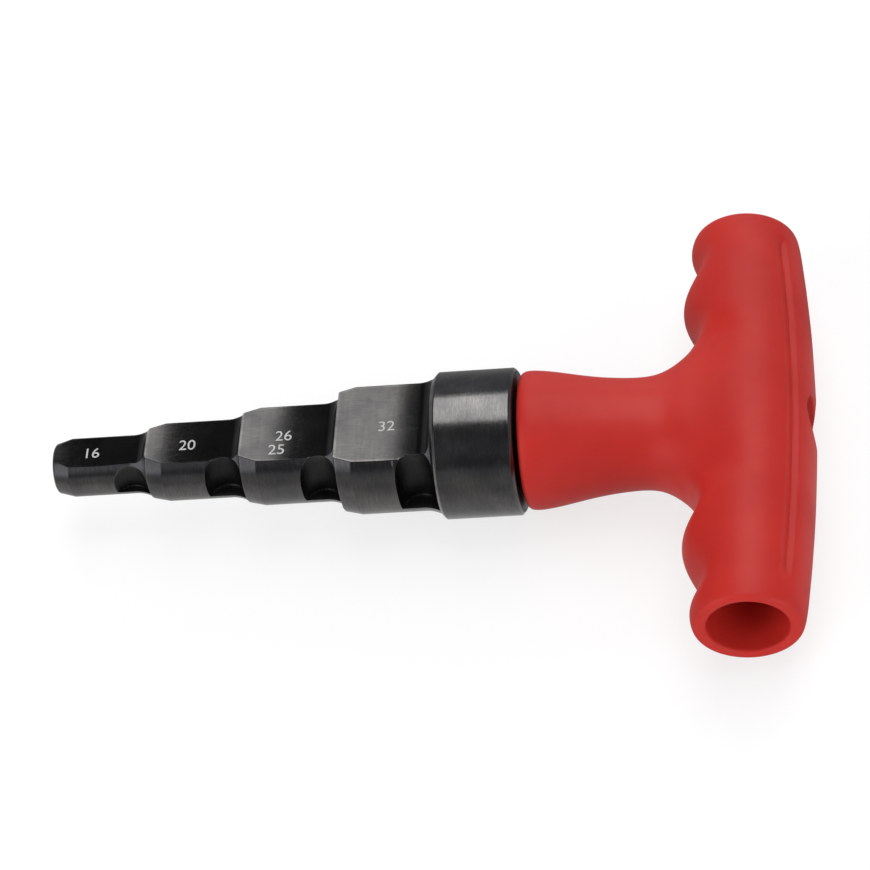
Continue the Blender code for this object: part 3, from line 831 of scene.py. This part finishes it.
fastener = {
    "flatStart": grip["recessFloor"] + 0.0003,
    "thickness": 0.0016,
    "gap": 0.0003,
    "flatRadius": 0.0055,
    "springRadius": 0.0049,
    "hole": 0.0033,
    "split": 0.0012,
    "shaft": 0.0030,
    "length": 0.0200,
    "pitch": 0.001,
    "threadShare": 0.10,  # depth of the thread as a share of the shaft's radius
    "tipDrop": 0.0006,
    "tipLength": 0.0005,
    "headRadius": 0.0050,
    "headHeight": 0.0060,
    "edgeRound": 0.00035,
    "keyHalf": 0.0025,
    "keyDepth": 0.0030,
    "ringRound": 0.00018,
    "lean": 0.35,  # of the spring washer's split, sideways for each unit of thickness
    "zinc": (0.56, 0.57, 0.58, 1.0),
    "zincBright": 1.25,
    "zincRoughness": (0.25, 0.42),
    "colour": (0.055, 0.056, 0.060, 1.0),
    "paleColour": (0.095, 0.096, 0.096, 1.0),
    "roughness": (0.28, 0.42),
}


def makeZinc():
    made, tree, shader, position = startMaterial("zincPlate")
    marks = placeGroup(tree, toolMarks, {
        "Position": position, "Stretch": (900.0, 900.0, 900.0), "Contrast": 1.4,
    })
    pale = tuple(min(1.0, value * fastener["zincBright"]) for value in fastener["zinc"])
    tree.links.new(mixColours(tree, marks["Marks"], fastener["zinc"], pale), shader.inputs["Base Color"])
    rough = remap(tree, marks["Marks"], 0.2, 0.8, *fastener["zincRoughness"])
    tree.links.new(rough, shader.inputs["Roughness"])
    shader.inputs["Metallic"].default_value = 1.0
    bumped(tree, shader, marks["Height"], strength=0.2, distance=0.00002)
    return made


def makeScrew():
    f = fastener
    seat = f["flatStart"] + 2 * f["thickness"] + 2 * f["gap"]
    tip, top = seat - f["length"], seat + f["headHeight"]
    columns = 96
    # how far in the head's flat ring reaches and how wide the key's mouth is, in half widths of the key
    headRing, mouth = 1.32, 1.06
    outer = filletProfile([
        (tip, f["shaft"] - f["tipDrop"]), (tip + f["tipLength"], f["shaft"]), (seat, f["shaft"]),
        (seat, f["headRadius"]), (top, f["headRadius"]), (top, f["keyHalf"] * headRing),
    ], f["edgeRound"])
    rings = turnedRings(outer, columns)
    # the thread: a groove that climbs one pitch each turn, as deep as a share of the radius times
    # (1 + cos(2 pi x / pitch - a)) / 2
    threadStart, threadEnd = tip + 0.0006, seat - 0.0040
    places = np.linspace(threadStart, threadEnd, 180)
    threaded = turnedRings([(place, f["shaft"]) for place in places], columns)
    wave = 0.5 + 0.5 * np.cos(2 * np.pi * places[:, None] / f["pitch"] - ringAngles(columns)[None, :])
    threaded[..., 1:] *= (1 - f["threadShare"] * wave)[..., None]
    before = rings[rings[:, 0, 0] <= threadStart]
    after = rings[rings[:, 0, 0] > threadEnd]
    hexagon = hexRadius(f["keyHalf"], columns)
    key = turnedRings([
        (top, mouth * hexagon), (top - 0.0002, hexagon), (top - f["keyDepth"], hexagon),
    ], columns)
    piece = capped("socketScrew", np.concatenate([before, threaded, after, key]))
    tidyMesh(piece, sharpAngle=40.0)
    piece.data.materials.append(makeBlackOxide("blackOxideScrew", fastener, turnedOnly=True))
    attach(piece, "root")
    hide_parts("retaining_screw")


def makeWashers():
    f = fastener
    zinc = makeZinc()
    hole, thick = f["hole"], f["thickness"]
    springStart = f["flatStart"] + thick + f["gap"]
    washers = (("flatRing", "flat_washer", f["flatStart"], f["flatRadius"], 0.0),
               ("springRing", "spring_washer", springStart, f["springRadius"], f["split"]))
    for name, node, start, radius, split in washers:
        # a rounded rectangle carried round the axis, with a slanted gap left on the top of the spring ring
        seam = (0, hole + 0.0002)
        corners = [seam, (0, radius), (thick, radius), (thick, hole), (0, hole), seam]
        section = filletProfile(corners, f["ringRound"], 4)[:-1]
        halfGap = split / 2 / radius
        a = np.linspace(halfGap, 2 * np.pi - halfGap, 145)
        if not split:
            a = a[:-1]
        lean = (f["lean"] if split else 0.0) * (section[:, 0] - thick / 2)
        turn = a[:, None] + lean[None, :] / radius
        rings = np.stack([np.repeat(start + section[:, 0][None, :], len(a), axis=0),
                          section[:, 1] * np.sin(turn), section[:, 1] * np.cos(turn)], axis=-1)
        if split:
            piece = capped(name, rings)
        else:
            around = np.concatenate([rings, rings[:1]])
            piece = meshObject(name, around, gridFaces(len(around), len(section)))
        tidyMesh(piece, weld=1e-8, sharpAngle=40.0)
        piece.data.materials.append(zinc)
        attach(piece, "root")
        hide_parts(node)


makeScrew()
makeWashers()
print("screw and washers made")


sizeMarks = {
    "height": 0.0026,
    "capShare": 0.72,  # height of a figure in an outline of size 1
    "thickness": 0.00001,
    "lift": 0.00002,
    "colour": (0.60, 0.60, 0.58, 1.0),
    "deepColour": (0.42, 0.42, 0.41, 1.0),
    "roughness": 0.75,
    # figures, and the place of their middle along and across the tool
    "marks": (("16", 0.0082, -0.0004), ("20", 0.0287, -0.0009), ("26", 0.0490, -0.0009),
              ("25", 0.0478, -0.0044), ("32", 0.0704, -0.0011)),
}


def makeMarks():
    made, tree, shader, position = startMaterial("laserGrey")
    grain = placeGroup(tree, finishMottle, {"Position": position, "Size": 700.0})
    colour = mixColours(tree, grain["Cloud"], sizeMarks["colour"], sizeMarks["deepColour"])
    tree.links.new(colour, shader.inputs["Base Color"])
    shader.inputs["Roughness"].default_value = sizeMarks["roughness"]
    pointSets, faceSets, total = [], [], 0
    for words, x, y in sizeMarks["marks"]:
        curve = bpy.data.curves.new("mark", "FONT")
        curve.body = words
        curve.size = sizeMarks["height"] / sizeMarks["capShare"]
        curve.align_x = "CENTER"
        curve.align_y = "CENTER"
        curve.extrude = sizeMarks["thickness"]
        text = bpy.data.objects.new("mark", curve)
        bpy.context.scene.collection.objects.link(text)
        mesh = bpy.data.meshes.new_from_object(text.evaluated_get(bpy.context.evaluated_depsgraph_get()))
        bpy.data.objects.remove(text)
        points = vertexPoints(mesh) + np.array([x, y, 0])
        points[:, 2] += flatHeight(points[:, 0]) + sizeMarks["lift"]
        pointSets.append(points)
        faceSets += [[total + v for v in face.vertices] for face in mesh.polygons]
        total += len(points)
    noGrid = np.empty((0, 4), int)
    piece = meshObject("sizeNumbers", np.concatenate(pointSets), noGrid, faceSets)
    tidyMesh(piece, weld=1e-8)
    piece.data.materials.append(made)
    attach(piece, "root")
    print("size numbers made")


makeMarks()


studio = {
    "floorZ": -0.0152,
    "floorHalf": 3.0,
    "floorAlbedo": (0.80, 0.80, 0.80, 1.0),
    "cameraAlbedo": (0.30, 0.30, 0.30, 1.0),
    "cameraGlow": 0.72,
    "glossyNear": 0.55,  # how bright the floor is in reflections close under the tool, and further out
    "glossyFar": 0.265,
    "glossyReach": (0.014, 0.055),
    "worldColour": (0.90, 0.92, 1.0, 1.0),
    # the room is darker overhead, reaching lower on the camera's side: direction, where the change
    # begins and ends along it, and the levels before and after
    "overhead": ((-0.35, -0.26, 1.0), (0.43, 0.57, 0.25, 0.09)),
    # a pale patch on the left in the same terms, added to the room
    "sideGlow": ((-0.66, -0.55, 0.51), (0.86, 0.95, 0.0, 0.60)),
    # soft boxes: direction from the tool, distance, width and height, power in watts, whether reflections
    # show it, and the place they face where that isn't the middle of the tool
    "boxes": {
        "overheadBox": ((0.120, 0.323, 0.938), 5.0, (3.36, 4.40), 118.0, True),
        "leftBox": ((-0.72, -0.58, 0.38), 1.2, (0.9, 0.7), 6.6, False),
        "rightBox": ((0.74, -0.56, 0.38), 1.2, (0.9, 0.7), 2.3, False),
        "nearBox": ((0.62, -0.76, 0.20), 0.20, (0.12, 0.12), 0.14, False, (0.142, -0.05, 0.0)),
        "topBox": ((0.05, -0.25, 0.96), 1.2, (0.9, 0.7), 1.8, False),
        "backBox": ((0.05, 0.92, 0.38), 1.2, (0.9, 0.7), 7.5, False),
    },
}


white = (1.0, 1.0, 1.0, 1.0)


def makeFloor():
    size, z = studio["floorHalf"], studio["floorZ"]
    points = np.array([[-size, -size, z], [size, -size, z], [size, size, z], [-size, size, z]])
    piece = meshObject("floor", points, np.array([[0, 1, 2, 3]]))
    made = bpy.data.materials.new("paleFloor")
    made.use_nodes = True
    tree = made.node_tree
    tree.nodes.clear()
    path = addNode(tree, "ShaderNodeLightPath")
    plain = addNode(tree, "ShaderNodeBsdfDiffuse", {"Color": studio["floorAlbedo"]})
    soft = addNode(tree, "ShaderNodeBsdfDiffuse", {"Color": studio["cameraAlbedo"]})
    glow = addNode(tree, "ShaderNodeEmission", {"Color": white, "Strength": studio["cameraGlow"]})
    both = addNode(tree, "ShaderNodeAddShader", {0: soft.outputs[0], 1: glow.outputs[0]})
    mixed = mixShaders(tree, path.outputs["Is Camera Ray"], plain, both)
    # in reflections the floor is a plain glow, brightest close to the tool's axis
    position = addNode(tree, "ShaderNodeTexCoord").outputs["Object"]
    across = addNode(tree, "ShaderNodeSeparateXYZ", {0: position}).outputs["Y"]
    distance = mathNode(tree, "ABSOLUTE", across, 0.0)
    level = remap(tree, distance, *studio["glossyReach"], studio["glossyNear"], studio["glossyFar"])
    shown = addNode(tree, "ShaderNodeEmission", {"Color": white, "Strength": level})
    reflected = mixShaders(tree, path.outputs["Is Glossy Ray"], mixed, shown)
    addNode(tree, "ShaderNodeOutputMaterial", {"Surface": reflected.outputs[0]})
    piece.data.materials.append(made)


def directionLevel(tree, toward, direction, levels):
    along = addNode(tree, "ShaderNodeVectorMath", {0: toward, 1: direction}, operation="DOT_PRODUCT")
    return remap(tree, along.outputs["Value"], *levels)


def makeWorld():
    world = bpy.data.worlds.new("studio")
    bpy.context.scene.world = world
    world.use_nodes = True
    tree = world.node_tree
    tree.nodes.clear()
    path = addNode(tree, "ShaderNodeLightPath")
    toward = addNode(tree, "ShaderNodeTexCoord").outputs["Generated"]
    level = mathNode(tree, "ADD", directionLevel(tree, toward, *studio["overhead"]),
                     directionLevel(tree, toward, *studio["sideGlow"]))
    room = addNode(tree, "ShaderNodeBackground", {"Color": studio["worldColour"], "Strength": level})
    plain = addNode(tree, "ShaderNodeBackground", {"Color": white, "Strength": 1.0})
    mixed = mixShaders(tree, path.outputs["Is Camera Ray"], room, plain)
    addNode(tree, "ShaderNodeOutputWorld", {"Surface": mixed.outputs[0]})


def addBox(name, direction, distance, size, power, reflected, target=(0.09, 0.0, 0.0)):
    lamp = bpy.data.lights.new(name, "AREA")
    lamp.shape = "RECTANGLE"
    lamp.size, lamp.size_y = size
    lamp.energy = power
    made = bpy.data.objects.new(name, lamp)
    made.visible_glossy = reflected
    out = Vector(direction).normalized()
    # its width lies along X, or along Y for a box that stands beside the tool
    side = Vector((1, 0, 0)) if abs(out.x) < 0.5 else Vector((0, 1, 0))
    side = (side - out * side.dot(out)).normalized()
    place = Matrix((side, out.cross(side), out)).transposed().to_4x4()
    place.translation = Vector(target) + out * distance
    made.matrix_world = place
    bpy.context.scene.collection.objects.link(made)


def makeLights():
    for name, box in studio["boxes"].items():
        addBox(name, *box)


def makeCamera():
    # the photograph's view, found from the outlines of the steps, the collar and the handle
    focal, photoWidth = 3452.45, 870  # in pixels
    data = bpy.data.cameras.new("photoCamera")
    data.sensor_fit = "HORIZONTAL"
    data.sensor_width = 36.0
    data.lens = focal / photoWidth * data.sensor_width
    data.clip_start = 0.01
    data.clip_end = 20.0
    right = Vector((0.98633656, 0.05233011, -0.15621061))
    up = Vector((0.05919949, 0.77228782, 0.63250845))
    back = Vector((0.15373879, -0.63311379, 0.7586378))
    place = Matrix((right, up, back)).transposed().to_4x4()
    place.translation = Vector((0.18696, -0.44242, 0.53372))
    made = bpy.data.objects.new("photoCamera", data)
    made.matrix_world = place
    bpy.context.scene.collection.objects.link(made)
    bpy.context.scene.camera = made


makeFloor()
makeWorld()
makeLights()
makeCamera()
bpy.context.scene.view_settings.view_transform = "Standard"
print("floor, light and camera set")
